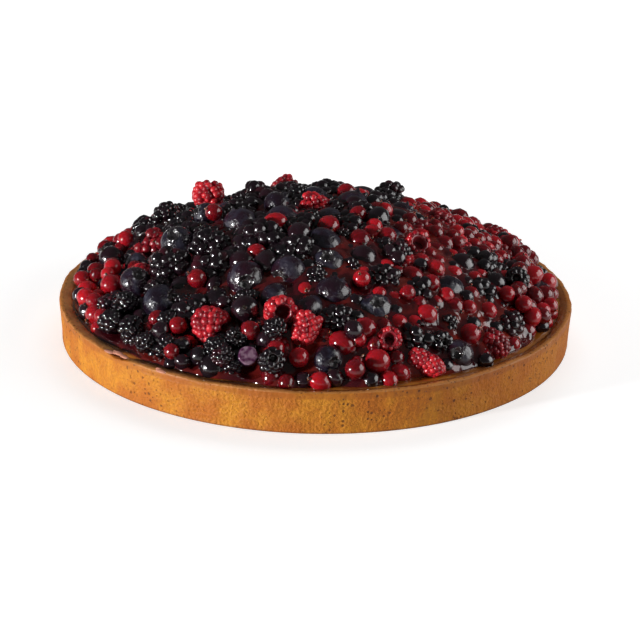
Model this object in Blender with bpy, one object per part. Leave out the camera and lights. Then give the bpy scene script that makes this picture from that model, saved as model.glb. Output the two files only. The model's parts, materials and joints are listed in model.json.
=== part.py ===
"""Berry tart: a shortcrust case, a custard filling and a heap of glazed mixed berries.

Metres, +Z up. The origin is the centre of the case's flat underside, and -Y is the front.
Every fruit that stands out of the heap is a solid of its own, sitting in a socket of the heap.
The fruit between them is one solid, the heap, out to its uneven outline.
"""

import math
import random
from dataclasses import dataclass

import bmesh
import bpy
from mathutils import Vector, geometry

MM = 0.001
GAP = 0.3 * MM

# The pastry case, which was baked in a straight-sided ring.
CASE_RADIUS = 135 * MM
CASE_HEIGHT = 21 * MM
WALL = 6.5 * MM
FLOOR = 4 * MM
FOOT_ROUND = 1 * MM
RIM_ROUND = 1.4 * MM
WALL_DRAFT = 0.8 * MM
CASE_SEGMENTS = 44
RIM_WAVE = 0.5 * MM
NOTCH_BEARING = math.radians(226)
NOTCH_WIDTH = math.radians(9)
NOTCH_DEPTH = 1.5 * MM

# The custard, poured to just under the rim.
FILLING_TOP = 19.5 * MM
INNER_RADIUS = CASE_RADIUS - WALL

# The heap of fruit.
HEAP_RADIUS = 126 * MM
HEAP_FOOT = CASE_HEIGHT + 4 * MM
HEAP_RISE = 44.5 * MM
HEAP_FULLNESS = 2.4
HEAP_LEAN = 0.06
HEAP_EDGE_HEIGHTS = (1 * MM, 5 * MM)
KNOB_REACH = HEAP_RADIUS - 9 * MM
HEAP_KNOBS = 240
HEAP_EDGE_STEPS = 40
HEAP_BELOW = 4 * MM
KNOB_SHARE = 0.4
KNOB_RISE = 3.6 * MM
KNOB_DROP = 1.8 * MM
KNOB_SCATTER = 1.3 * MM
HEAP_SEED = 7
GOLDEN_ANGLE = math.pi * (3 - math.sqrt(5))

# How the single fruits lie.
FRUIT_SPACE = 1.3 * MM
SOCKET_ROUND = 1.5 * MM
SOCKET_BLUNTNESS = 0.75
SOCKET_STEPS = 4
MERGE_WITHIN = 1e-7
FRUIT_SEGMENTS = 8
TAIL = 0.12
BEADED_SPREAD = 1.08
RASPBERRY_BEADS = 0.12
BRAMBLE_BEADS = 0.14
SUNK = 0.95
LEAST_RISE = 0.3
SETTLING_STEPS = 60

COLOURS = {
    "pastry": ((0.55, 0.25, 0.06), 0.75),
    "custard": ((0.70, 0.33, 0.05), 0.30),
    "heap": ((0.045, 0.004, 0.010), 0.20),
    "blueberry": ((0.020, 0.022, 0.055), 0.25),
    "blackcurrant": ((0.008, 0.006, 0.010), 0.12),
    "bramble": ((0.014, 0.005, 0.010), 0.20),
    "raspberry": ((0.42, 0.012, 0.022), 0.25),
    "redcurrant": ((0.48, 0.010, 0.014), 0.10),
}


@dataclass
class Fruit:
    """One fruit that stands out of the heap.

    bearing and reach give its place in plan, in degrees from +X and in millimetres.
    Its open end, crown or tail faces facing degrees from +X, rise degrees above level.
    """

    kind: str
    bearing: float
    reach: float
    width: float
    length: float
    facing: float
    rise: float
    sunk: float = SUNK


FRUITS = [
    Fruit("blueberry", 258, 64, 19.5, 17, 235, 5),
    Fruit("blueberry", 276, 57, 18.5, 16, 262, 62),
    Fruit("blueberry", 243, 72, 19.5, 17, 272, 12),
    Fruit("blueberry", 289, 88, 17.5, 15, 275, 55),
    Fruit("blueberry", 221, 99, 20, 17.5, 330, 35),
    Fruit("blueberry", 204, 99, 17, 15, 300, 50),
    Fruit("blueberry", 191, 73, 18.5, 16, 250, 50),
    Fruit("blueberry", 151, 24, 16, 14, 30, 40, 0.80),
    Fruit("blueberry", 189, 41, 19, 16.5, 120, 70),
    Fruit("blueberry", 167, 61, 14, 12, 200, 40),
    Fruit("blueberry", 273, 113, 14.5, 12.5, 300, 10),
    Fruit("blueberry", 305, 117, 16, 14, 260, 30),
    Fruit("blueberry", 279, 77, 19, 16.5, 60, 60),
    Fruit("blueberry", 22, 49, 17, 15, 20, 45),
    Fruit("blackcurrant", 294, 56, 15.5, 15.5, 80, 60),
    Fruit("blackcurrant", 336, 80, 15, 15, 350, 50),
    Fruit("blackcurrant", 338, 97, 13, 13, 180, 60),
    Fruit("blackcurrant", 251, 93, 14.5, 14.5, 270, 30),
    Fruit("blackcurrant", 174, 110, 15, 15, 200, 50),
    Fruit("raspberry", 139, 80, 17.5, 15, 100, 55, 0.20),
    Fruit("raspberry", 242, 101, 18, 16, 330, -20, 0.80),
    Fruit("raspberry", 259, 93, 15, 15.5, 285, 15, 0.75),
    Fruit("raspberry", 267, 98, 13, 15, 60, 50, 0.50),
    Fruit("raspberry", 92, 9, 14, 17, 170, 15, 0.70),
    Fruit("raspberry", 12, 66, 20.5, 17.5, 120, -30, 0.75),
    Fruit("raspberry", 329, 58, 14, 12, 300, 40, 0.80),
    Fruit("raspberry", 297, 118, 11, 18, 160, 15, 0.70),
    Fruit("raspberry", 317, 119, 13, 14, 150, 30, 0.85),
    Fruit("raspberry", 289, 107, 11.5, 11, 275, 25, 0.85),
    Fruit("raspberry", 108, 62, 13.5, 14, 30, 20, 0.60),
    Fruit("bramble", 152, 94, 15, 14.5, 250, -20, 0.45),
    Fruit("bramble", 210, 61, 17.5, 18.5, 160, -10),
    Fruit("bramble", 207, 82, 18.5, 19.5, 10, -15),
    Fruit("bramble", 296, 71, 16, 17, 0, -10),
    Fruit("bramble", 275, 94, 15.5, 16, 30, -20),
    Fruit("bramble", 221, 117, 13, 14, 100, 20),
    Fruit("bramble", 327, 114, 14.5, 16, 60, 0),
    Fruit("bramble", 7, 119, 13, 13, 200, 10),
    Fruit("bramble", 55, 69, 14.5, 15, 20, 0, 0.30),
    Fruit("redcurrant", 198, 109, 11.5, 11.5, 150, 60),
    Fruit("redcurrant", 190, 120, 10.5, 10.5, 90, 40),
    Fruit("redcurrant", 285, 115, 12.5, 12.5, 170, 20),
    Fruit("redcurrant", 303, 98, 11.5, 11.5, 20, 30),
    Fruit("redcurrant", 312, 112, 11, 11, 340, 40),
    Fruit("redcurrant", 267, 114, 10, 10, 90, 60),
    Fruit("redcurrant", 323, 106, 9.5, 9.5, 100, 50),
    Fruit("redcurrant", 227, 85, 10, 10, 200, 40),
    Fruit("redcurrant", 183, 53, 9.5, 9.5, 210, 30, 0.40),
    Fruit("redcurrant", 286, 75, 9, 9, 250, 50, 0.60),
]


def finish(name):
    """A plain material with the piece's colour and roughness."""
    colour, roughness = COLOURS[name]
    material = bpy.data.materials.new(name)
    material.use_nodes = True
    shader = material.node_tree.nodes["Principled BSDF"]
    shader.inputs["Base Color"].default_value = (*colour, 1)
    shader.inputs["Roughness"].default_value = roughness
    shader.inputs["Metallic"].default_value = 0
    return material


def add_object(name, mesh_data, material, smooth_angle=35):
    """Links a mesh built in mesh_data to the scene, shaded smooth up to smooth_angle degrees."""
    mesh = bpy.data.meshes.new(name)
    bmesh.ops.recalc_face_normals(mesh_data, faces=mesh_data.faces)
    mesh_data.to_mesh(mesh)
    mesh_data.free()
    mesh.shade_smooth()
    mesh.set_sharp_from_angle(angle=math.radians(smooth_angle))
    if material:
        mesh.materials.append(material)
    piece = bpy.data.objects.new(name, mesh)
    bpy.context.scene.collection.objects.link(piece)
    return piece


def lathe(profile, segments, shape=None):
    """A closed solid turned about Z from (radius, height) points.

    The first and last points lie on the axis. shape(row, column, radius, height, angle)
    may return a changed (radius, height) for one point.
    """
    solid = bmesh.new()
    rings = []
    for row, (radius, height) in enumerate(profile):
        if radius == 0:
            rings.append([solid.verts.new((0, 0, height))])
            continue
        ring = []
        for column in range(segments):
            angle = 2 * math.pi * column / segments
            r, z = shape(row, column, radius, height, angle) if shape else (radius, height)
            ring.append(solid.verts.new((r * math.cos(angle), r * math.sin(angle), z)))
        rings.append(ring)
    for lower, upper in zip(rings, rings[1:]):
        for column in range(segments):
            corners = [
                lower[column % len(lower)],
                lower[(column + 1) % len(lower)],
                upper[(column + 1) % len(upper)],
                upper[column % len(upper)],
            ]
            solid.faces.new(list(dict.fromkeys(corners)))
    return solid


def rim_wave(angle):
    """How far hand-trimmed pastry strays from a true circle at this angle, from -1 to 1."""
    return 0.5 * math.sin(4 * angle + 0.6) + 0.3 * math.sin(8 * angle) + 0.2 * math.sin(14 * angle + 2)


def case_profile():
    """The case's section from the middle of its underside, up the wall and down to its floor."""
    foot = CASE_RADIUS - WALL_DRAFT
    inside_foot = INNER_RADIUS - WALL_DRAFT
    return [
        (0, 0),
        (foot - FOOT_ROUND, 0),
        (foot, FOOT_ROUND),
        (CASE_RADIUS, CASE_HEIGHT - RIM_ROUND),
        (CASE_RADIUS - RIM_ROUND, CASE_HEIGHT),
        (INNER_RADIUS + 2 * RIM_ROUND, CASE_HEIGHT),
        (INNER_RADIUS + RIM_ROUND / 2, CASE_HEIGHT - RIM_ROUND / 2),
        (INNER_RADIUS, FILLING_TOP - RIM_ROUND),
        (inside_foot, FLOOR + FOOT_ROUND),
        (inside_foot - FOOT_ROUND, FLOOR),
        (0, FLOOR),
    ]


def build_case():
    """The pastry case, a shallow dish with an upright wall and an uneven trimmed rim."""
    profile = case_profile()
    outer_rows = range(2, 5)
    rim_rows = range(3, 7)

    def trimmed(row, _column, radius, height, angle):
        if row in outer_rows:
            radius -= RIM_WAVE * (1 + rim_wave(angle)) / 2
        if row in rim_rows:
            height += RIM_WAVE * rim_wave(2 * angle + 1)
            height -= NOTCH_DEPTH * max(0, 1 - abs(angle - NOTCH_BEARING) / NOTCH_WIDTH)
        return radius, height

    return add_object("pastry_case", lathe(profile, CASE_SEGMENTS, trimmed), finish("pastry"))


def build_filling():
    """The custard, a disc that fills the case to just under its rim."""
    profile = [
        (0, FLOOR + GAP),
        (INNER_RADIUS - WALL_DRAFT - FOOT_ROUND - GAP, FLOOR + GAP),
        (INNER_RADIUS - WALL_DRAFT - GAP, FLOOR + FOOT_ROUND + GAP),
        (INNER_RADIUS - GAP, FILLING_TOP - RIM_ROUND),
        (INNER_RADIUS - GAP, FILLING_TOP),
        (0, FILLING_TOP),
    ]
    return add_object("custard_filling", lathe(profile, CASE_SEGMENTS), finish("custard"))


def heap_height(x, y):
    """Height of the mound that the tops of the fruit reach, above the origin's plane."""
    share = min(1.0, math.hypot(x, y) / HEAP_RADIUS)
    rise = HEAP_RISE * (1 - share**HEAP_FULLNESS)
    return HEAP_FOOT + rise * (1 - HEAP_LEAN * x / HEAP_RADIUS)


def heap_edge(angle):
    """Radius at which the outermost fruit ends, which strays in and out round the case."""
    return HEAP_RADIUS - MM * (2 + 1.5 * math.sin(5 * angle + 1) + math.sin(9 * angle))


def build_heap():
    """The heaped fruit between the single ones: knobs and hollows over a domed mound."""
    chance = random.Random(HEAP_SEED)
    edge = []
    for step in range(HEAP_EDGE_STEPS):
        angle = 2 * math.pi * step / HEAP_EDGE_STEPS
        edge.append(Vector((math.cos(angle), math.sin(angle))) * heap_edge(angle))
    inside = []
    for knob in range(HEAP_KNOBS):
        radius = KNOB_REACH * math.sqrt((knob + 0.5) / HEAP_KNOBS)
        inside.append(Vector((math.cos(knob * GOLDEN_ANGLE), math.sin(knob * GOLDEN_ANGLE))) * radius)
    points, _, triangles, *_ = geometry.delaunay_2d_cdt(
        edge + inside, [], [list(range(HEAP_EDGE_STEPS))], 1, MERGE_WITHIN
    )
    solid = bmesh.new()
    top, bottom = [], []
    for index, point in enumerate(points):
        rise = KNOB_RISE if chance.random() < KNOB_SHARE else -KNOB_DROP
        rise += chance.uniform(-KNOB_SCATTER, KNOB_SCATTER)
        height = max(heap_height(*point) - HEAP_BELOW + rise, CASE_HEIGHT + 1 * MM)
        if index < HEAP_EDGE_STEPS:
            height = CASE_HEIGHT + chance.uniform(*HEAP_EDGE_HEIGHTS)
            bottom.append(solid.verts.new((*point, FILLING_TOP + GAP)))
        top.append(solid.verts.new((*point, height)))
    for triangle in triangles:
        solid.faces.new([top[corner] for corner in triangle])
    for here in range(HEAP_EDGE_STEPS):
        after = (here + 1) % HEAP_EDGE_STEPS
        solid.faces.new((bottom[here], bottom[after], top[after], top[here]))
    solid.faces.new(list(reversed(bottom)))
    return add_object("berry_heap", solid, finish("heap"), 25)


def place_fruits():
    """Middle of every single fruit, nudged until none touches another or the case.

    Returns:
        One Vector for each entry of FRUITS.
    """
    places, radii = [], []
    for fruit in FRUITS:
        bearing = math.radians(fruit.bearing)
        places.append(Vector((math.cos(bearing), math.sin(bearing), 0)) * fruit.reach * MM)
        spread = BEADED_SPREAD if fruit.kind == "raspberry" else 1
        radii.append(spread * max(fruit.width, fruit.length) * MM / 2)

    def drop(index):
        place, radius = places[index], radii[index]
        lowest = FILLING_TOP + LEAST_RISE * radius
        place.z = max(heap_height(place.x, place.y) - FRUITS[index].sunk * radius, lowest)

    for _ in range(SETTLING_STEPS):
        for index in range(len(FRUITS)):
            drop(index)
        for index, place in enumerate(places):
            for other in range(index):
                away = place - places[other]
                short = radii[index] + radii[other] + FRUIT_SPACE - away.length
                if short > 0:
                    push = Vector((away.x, away.y, 0)).normalized() * short / 2
                    places[index] += push
                    places[other] -= push
        for index, place in enumerate(places):
            most = INNER_RADIUS - radii[index] - 2 * GAP
            reach = math.hypot(place.x, place.y)
            if reach > most:
                place.xy *= most / reach
    for index in range(len(FRUITS)):
        drop(index)
    return places


def rounded(width, length, steps, end):
    """Points as (radius, height) on an ellipse's outline, from its foot to end degrees of latitude."""
    points = [(0, -length / 2)]
    for step in range(1, steps + 1):
        latitude = math.radians(-90 + (end + 90) * step / steps)
        points.append((width / 2 * math.cos(latitude), length / 2 * math.sin(latitude)))
    return points


def blueberry_solid(width, length):
    """A flattened ball whose top carries a raised crown round a shallow dish."""
    body = rounded(width, length, 4, 58)
    crown = [(0.19 * width, 0.48 * length), (0.13 * width, 0.42 * length), (0, 0.36 * length)]
    return lathe(body + crown, FRUIT_SEGMENTS)


def currant_solid(width, _length):
    """A ball with the short dry tail of its flower."""
    body = rounded(width, width, 3, 66)
    return lathe(body + [(0.06 * width, 0.52 * width), (0, (0.5 + TAIL) * width)], FRUIT_SEGMENTS)


def knobbly(profile, depth):
    """A turned fruit whose points stand out and in by turns, like the beads of a bramble."""
    knobbed = range(1, len(profile) - 3)

    def beaded(row, column, radius, height, _angle):
        if row in knobbed:
            share = 1 if (row + column) % 2 == 0 else 1 - depth
            return radius * share, height * (1 + share) / 2
        return radius, height

    return lathe(profile, FRUIT_SEGMENTS, beaded)


def raspberry_solid(width, length):
    """A blunt beaded cone, hollow at its wide end."""
    body = [(radius, height + 0.05 * length) for radius, height in rounded(width, 1.1 * length, 4, 42)]
    mouth = [(0.31 * width, 0.49 * length), (0.23 * width, 0.44 * length), (0, 0.18 * length)]
    return knobbly(body + mouth, RASPBERRY_BEADS)


def bramble_solid(width, length):
    """A beaded oval with a shallow scar where its stalk was."""
    body = rounded(width, length, 4, 50)
    scar = [(0.24 * width, 0.48 * length), (0.12 * width, 0.45 * length), (0, 0.34 * length)]
    return knobbly(body + scar, BRAMBLE_BEADS)


def socket_solid(fruit):
    """A blunt ball that clears the fruit, its tail and its beads all round."""
    across = fruit.width * MM / 2 + SOCKET_ROUND
    below = fruit.length * MM / 2 + SOCKET_ROUND
    above = below + (TAIL * fruit.width * MM if "currant" in fruit.kind else 0)
    profile = []
    for step in range(SOCKET_STEPS + 1):
        angle = math.pi * (step / SOCKET_STEPS - 0.5)
        radius = across * math.cos(angle) ** SOCKET_BLUNTNESS
        rise = math.copysign(abs(math.sin(angle)) ** SOCKET_BLUNTNESS, angle)
        height = rise * (above if angle > 0 else below)
        profile.append((radius if 0 < step < SOCKET_STEPS else 0, height))
    return lathe(profile, FRUIT_SEGMENTS)


SHAPES = {
    "blueberry": blueberry_solid,
    "blackcurrant": currant_solid,
    "raspberry": raspberry_solid,
    "bramble": bramble_solid,
    "redcurrant": currant_solid,
}


def build_fruits(places):
    """Every single fruit as an object, and an unseen cutter round each for its socket."""
    materials = {kind: finish(kind) for kind in SHAPES}
    cutters = bpy.data.collections.new("sockets")
    bpy.context.scene.collection.children.link(cutters)
    counts = dict.fromkeys(SHAPES, 0)
    for fruit, place in zip(FRUITS, places):
        counts[fruit.kind] += 1
        name = f"{fruit.kind}_{counts[fruit.kind]:02d}"
        facing, rise = math.radians(fruit.facing), math.radians(fruit.rise)
        axis = Vector((math.cos(facing) * math.cos(rise), math.sin(facing) * math.cos(rise), math.sin(rise)))
        turn = Vector((0, 0, 1)).rotation_difference(axis)
        width, length = fruit.width * MM, fruit.length * MM
        piece = add_object(name, SHAPES[fruit.kind](width, length), materials[fruit.kind], 50)
        cutter = add_object("socket_" + name, socket_solid(fruit), None)
        cutter.hide_render = True
        cutter.display_type = "WIRE"
        bpy.context.scene.collection.objects.unlink(cutter)
        cutters.objects.link(cutter)
        for item in (piece, cutter):
            item.location = place
            item.rotation_mode = "QUATERNION"
            item.rotation_quaternion = turn
    return cutters


def cut_sockets(piece, cutters):
    """Takes the sockets of the single fruits out of a piece."""
    cut = piece.modifiers.new("sockets", "BOOLEAN")
    cut.operation = "DIFFERENCE"
    cut.operand_type = "COLLECTION"
    cut.collection = cutters
    cut.solver = "EXACT"
    cut.use_self = True


def main():
    for item in list(bpy.data.objects):
        bpy.data.objects.remove(item)
    build_case()
    filling = build_filling()
    heap = build_heap()
    cutters = build_fruits(place_fruits())
    cut_sockets(filling, cutters)
    cut_sockets(heap, cutters)


main()
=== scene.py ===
"""Berry tart: a shortcrust case with custard under a glazed heap of mixed berries.

Every fruit that the frame holds as a node gets its own finished piece, on that node's place, size
and axis. The fruit between them is settled on the mound by a seeded packing and joined into one
piece for each kind, over a core of jelly.
"""

import json
import logging
import math
from collections.abc import Callable
from dataclasses import dataclass, field
from enum import Enum

import bpy
import numpy as np
from bpy.types import Collection, Material, Mesh, Node, NodeSocket, NodeTree, Object
from mathutils import Matrix, Vector
from mathutils.kdtree import KDTree

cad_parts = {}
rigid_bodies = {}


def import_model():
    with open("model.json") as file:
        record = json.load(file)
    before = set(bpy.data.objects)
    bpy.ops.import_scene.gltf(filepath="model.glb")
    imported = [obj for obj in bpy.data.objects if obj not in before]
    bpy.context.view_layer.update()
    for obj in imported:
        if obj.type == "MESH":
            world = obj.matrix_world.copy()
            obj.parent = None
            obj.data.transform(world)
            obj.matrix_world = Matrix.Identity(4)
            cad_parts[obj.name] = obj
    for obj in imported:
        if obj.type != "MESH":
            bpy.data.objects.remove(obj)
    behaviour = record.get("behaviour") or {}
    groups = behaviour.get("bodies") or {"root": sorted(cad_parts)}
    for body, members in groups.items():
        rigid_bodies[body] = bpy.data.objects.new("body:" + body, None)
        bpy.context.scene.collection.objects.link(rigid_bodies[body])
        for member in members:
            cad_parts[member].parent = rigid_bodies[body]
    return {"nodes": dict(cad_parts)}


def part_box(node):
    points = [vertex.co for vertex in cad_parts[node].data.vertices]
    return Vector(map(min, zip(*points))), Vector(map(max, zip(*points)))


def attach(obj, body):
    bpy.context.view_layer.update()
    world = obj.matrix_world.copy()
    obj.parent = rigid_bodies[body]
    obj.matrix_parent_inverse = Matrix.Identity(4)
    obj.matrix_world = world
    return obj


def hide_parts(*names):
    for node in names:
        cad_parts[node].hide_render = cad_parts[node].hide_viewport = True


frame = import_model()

log = logging.getLogger("berry_tart")

MM = 0.001
GOLDEN_ANGLE = math.pi * (3 - math.sqrt(5))

RIM_ALLOWANCE = 0.4 * MM
WALL_OVERLAP = 0.5 * MM
FLOOR_GAP = 0.2 * MM
HEAP_RADIUS = 126 * MM
HEAP_LIFT = 3.6 * MM

Triple = tuple[float, float, float]
Colour = Triple
Array = np.ndarray
Warp = Callable[[Array, Array, Array], tuple[Array, Array]]


class Fruit(Enum):
    """The kinds of fruit in the heap, by the first word of their nodes' names."""

    BLUEBERRY = "blueberry"
    BLACKCURRANT = "blackcurrant"
    RASPBERRY = "raspberry"
    BRAMBLE = "bramble"
    REDCURRANT = "redcurrant"


class Part(Enum):
    """The parts of one fruit that differ in colour."""

    FLESH = 0.0
    HEART = 1.0


# ---------------------------------------------------------------- trees and meshes


class Graph:
    """Adds nodes to one tree and joins them."""

    def __init__(self, tree: NodeTree) -> None:
        """Keeps the tree that is worked on."""
        self.tree = tree

    def add(self, kind: str, inputs: dict | None = None, **settings: object) -> Node:
        """Adds a node.

        Args:
            kind: the node's type name.
            inputs: a value or another node's output for each named or numbered input.
            **settings: the node's own properties.

        Returns:
            The new node.
        """
        node = self.tree.nodes.new(kind)
        for name, value in settings.items():
            setattr(node, name, value)
        for name, value in (inputs or {}).items():
            self.feed(node.inputs[name], value)
        return node

    def feed(self, socket: NodeSocket, value: object) -> None:
        """Joins an output to a socket, or sets the socket's own value."""
        if isinstance(value, NodeSocket):
            self.tree.links.new(value, socket)
        elif isinstance(value, tuple) and socket.type == "RGBA":
            socket.default_value = (*value[:3], 1.0)
        else:
            socket.default_value = value

    def math(self, operation: str, first: object, second: object = 0.0) -> NodeSocket:
        """The output of a Math node."""
        return self.add("ShaderNodeMath", {0: first, 1: second}, operation=operation).outputs[0]

    def times(self, first: object, second: object) -> NodeSocket:
        """One value times another."""
        return self.math("MULTIPLY", first, second)

    def vector(self, operation: str, first: object, second: object = (0.0, 0.0, 0.0)) -> Node:
        """A Vector Math node."""
        return self.add("ShaderNodeVectorMath", {0: first, 1: second}, operation=operation)

    def ramp(
        self,
        value: object,
        low: object,
        high: object,
        start: object = 0.0,
        end: object = 1.0,
    ) -> NodeSocket:
        """Maps value from low..high to start..end with soft ends."""
        inputs = {"Value": value, "From Min": low, "From Max": high, "To Min": start, "To Max": end}
        return self.add("ShaderNodeMapRange", inputs, interpolation_type="SMOOTHSTEP").outputs["Result"]

    def mix(self, share: object, first: object, second: object) -> NodeSocket:
        """The colour between two colours."""
        node = self.add("ShaderNodeMix", data_type="RGBA")
        for index, value in ((0, share), (6, first), (7, second)):
            self.feed(node.inputs[index], value)
        return node.outputs[2]

    def group(self, tree: NodeTree, **inputs: object) -> NodeSocket:
        """The first output of a shader group that is placed with its own values."""
        node = self.add("ShaderNodeGroup", node_tree=tree)
        for label, value in inputs.items():
            self.feed(node.inputs[label], value)
        return node.outputs[0]

    def attribute(self, name: str, output: str = "Fac") -> NodeSocket:
        """One of the mesh's own attributes."""
        return self.add("ShaderNodeAttribute", attribute_name=name).outputs[output]

    def place(self) -> NodeSocket:
        """The place on the piece, in the frame."""
        return self.add("ShaderNodeTexCoord").outputs["Object"]

    def noise(self, scale: float, detail: float = 2.0) -> NodeSocket:
        """A noise that lies fixed on the piece."""
        inputs = {"Vector": self.place(), "Scale": scale, "Detail": detail}
        return self.add("ShaderNodeTexNoise", inputs).outputs["Fac"]

    def bump(self, height: NodeSocket, strength: float, distance: float) -> NodeSocket:
        """The normals of a fine relief."""
        inputs = {"Height": height, "Strength": strength, "Distance": distance}
        return self.add("ShaderNodeBump", inputs).outputs["Normal"]


class MaskGroup:
    """A shader group that makes a mask between 0 and 1 from a place and some numbers."""

    def __init__(self, name: str, **numbers: float) -> None:
        """Starts the group, with a default for each of its numbers."""
        self.tree = bpy.data.node_groups.new(name, "ShaderNodeTree")
        new_socket = self.tree.interface.new_socket
        new_socket("Vector", in_out="INPUT", socket_type="NodeSocketVector")
        for label, default in numbers.items():
            socket = new_socket(label, in_out="INPUT", socket_type="NodeSocketFloat")
            socket.default_value = default
        new_socket("Mask", in_out="OUTPUT", socket_type="NodeSocketFloat")
        self.graph = Graph(self.tree)
        self.given = self.graph.add("NodeGroupInput").outputs
        self.out = self.graph.add("NodeGroupOutput").inputs["Mask"]

    def texture(self, kind: str, *labels: str) -> Node:
        """Adds a texture that takes the group's inputs of the same names."""
        return self.graph.add(kind, {label: self.given[label] for label in ("Vector", *labels)})


class Effects:
    """The surface effects that several finishes share, as shader groups."""

    def __init__(self) -> None:
        """Builds the groups once."""
        self.mottle = self._mottle()
        self.pores = self._pores()

    def _mottle(self) -> NodeTree:
        """Soft patches from one noise."""
        group = MaskGroup("Mottle", Scale=50.0, Detail=2.0, Low=0.4, High=0.6)
        noise = group.texture("ShaderNodeTexNoise", "Scale", "Detail").outputs["Fac"]
        mask = group.graph.ramp(noise, group.given["Low"], group.given["High"])
        group.graph.feed(group.out, mask)
        return group.tree

    def _pores(self) -> NodeTree:
        """Small round pits, in only a share of the cells."""
        group = MaskGroup("Pores", Scale=300.0, Width=0.3, Share=0.3)
        graph = group.graph
        cells = group.texture("ShaderNodeTexVoronoi", "Scale")
        lots = graph.add("ShaderNodeSeparateColor", {"Color": cells.outputs["Color"]})
        chosen = graph.math("LESS_THAN", lots.outputs[0], group.given["Share"])
        width = graph.times(group.given["Width"], lots.outputs[1])
        past = graph.math("SUBTRACT", cells.outputs["Distance"], width)
        graph.feed(group.out, graph.times(chosen, graph.ramp(past, 0.0, 0.10, 1.0, 0.0)))
        return group.tree


class Surface:
    """A new material with its graph and its Principled shader."""

    def __init__(self, name: str, roughness: float) -> None:
        """Starts the material with one roughness."""
        self.material = bpy.data.materials.new(name)
        self.material.use_nodes = True
        self.graph = Graph(self.material.node_tree)
        self.shader = self.material.node_tree.nodes["Principled BSDF"]
        self.put("Roughness", roughness)

    def put(self, name: str, value: object) -> None:
        """Sets or joins one of the shader's inputs."""
        self.graph.feed(self.shader.inputs[name], value)

    def coat(self, weight: float, roughness: float = 0.03) -> None:
        """Lays a clear shiny coat over the surface."""
        self.put("Coat Weight", weight)
        self.put("Coat Roughness", roughness)

    def glow(self, weight: float, reddening: Triple, depth: float) -> None:
        """Lets light spread under the surface, each colour to its share of the depth."""
        self.put("Subsurface Weight", weight)
        self.put("Subsurface Radius", reddening)
        self.put("Subsurface Scale", depth)


def make_mesh(
    name: str,
    points: Array,
    faces: list,
    attributes: dict[str, Array] | None = None,
) -> Mesh:
    """A smooth mesh from points and faces.

    Args:
        name: the mesh's name.
        points: one row for each point.
        faces: tuples of point numbers.
        attributes: one value or one vector for each point, by attribute name.

    Returns:
        The mesh.
    """
    mesh = bpy.data.meshes.new(name)
    mesh.from_pydata(points.tolist(), [], faces)
    for label, values in (attributes or {}).items():
        if values.ndim == 2:
            mesh.attributes.new(label, "FLOAT_VECTOR", "POINT").data.foreach_set("vector", values.ravel())
        else:
            kind = "INT" if values.dtype.kind == "i" else "FLOAT"
            mesh.attributes.new(label, kind, "POINT").data.foreach_set("value", values)
    if faces:
        mesh.shade_smooth()
    return mesh


def show(name: str, mesh: Mesh, material: Material | None = None) -> Object:
    """Links a mesh to the scene as an object, with its material."""
    if material:
        mesh.materials.clear()
        mesh.materials.append(material)
    piece = bpy.data.objects.new(name, mesh)
    bpy.context.scene.collection.objects.link(piece)
    return piece


def hand_over(piece: Object, slot: str, *nodes: str) -> None:
    """Lets a finished piece ride on the tart, in place of some nodes."""
    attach(piece, "root")
    if nodes:
        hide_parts(*nodes)
    stands_for = ", ".join(nodes) or "no node"
    log.info("%s: %d faces, stands for %s", piece.name, len(piece.data.polygons), stands_for)


def around(radius: Array, bearing: Array, height: Array) -> Array:
    """Points at some radii, bearings and heights round Z."""
    return np.stack([radius * np.cos(bearing), radius * np.sin(bearing), height], axis=-1)


def turned(profile: Array, columns: int, warp: Warp | None = None) -> tuple[Array, list]:
    """A closed solid turned about Z.

    Args:
        profile: rows of radius and height, from the bottom of the axis round to its top.
        columns: points in each ring.
        warp: changes the rings' radii and heights, given them and the points' bearings.

    Returns:
        The points and the faces.
    """
    bearing = np.linspace(0, 2 * math.pi, columns, endpoint=False)[None, :]
    radius = profile[1:-1, 0][:, None] + 0 * bearing
    height = profile[1:-1, 1][:, None] + 0 * bearing
    if warp:
        radius, height = warp(radius, height, bearing)
    rings = around(radius, bearing, height).reshape(-1, 3)
    points = np.vstack([[0, 0, profile[0, 1]], rings, [0, 0, profile[-1, 1]]])
    rows = len(profile) - 2
    faces = []
    for column in range(columns):
        after = (column + 1) % columns
        faces.append((0, 1 + after, 1 + column))
        for row in range(rows - 1):
            low, high = 1 + row * columns, 1 + (row + 1) * columns
            faces.append((low + column, low + after, high + after, high + column))
        last = 1 + (rows - 1) * columns
        faces.append((last + column, last + after, len(points) - 1))
    return points, faces


def waves(seed: int, count: int, low: int, high: int, rise: float = 0.0) -> Callable[[Array, Array], Array]:
    """An uneven pattern round a ring, from -1 to 1, that closes on itself.

    Args:
        seed: fixes the pattern.
        count: number of waves in it.
        low: fewest turns round the ring.
        high: most turns round the ring.
        rise: most turns up each millimetre of height.

    Returns:
        A function of bearing and height.
    """
    chance = np.random.default_rng(seed)
    turns = chance.integers(low, high + 1, count)
    slants = chance.uniform(-rise, rise, count) / MM
    starts = chance.uniform(0, 2 * math.pi, count)

    def pattern(bearing: Array, height: Array) -> Array:
        """The pattern's value at each bearing and height."""
        total = sum(np.sin(k * bearing + s * height + a) for k, s, a in zip(turns, slants, starts))
        return total / math.sqrt(count)

    return pattern


def dented(points: Array, amount: float, seed: int, dents: int = 4, tightness: float = 2.2) -> Array:
    """Pushes points in and out, so that no two fruits have quite one shape.

    Args:
        points: the fruit's points about the origin.
        amount: how far a typical dent goes, as a share of the radius.
        seed: fixes the dents.
        dents: number of waves that make them.
        tightness: how closely the waves follow one another.

    Returns:
        The moved points.
    """
    chance = np.random.default_rng(seed)
    span = np.abs(points).max()
    swell = np.zeros(len(points))
    for _ in range(dents):
        swell += np.sin(points @ chance.normal(0, tightness / span, 3) + chance.uniform(0, 2 * math.pi))
    return points * (1 + amount * swell[:, None] / 2)


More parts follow.
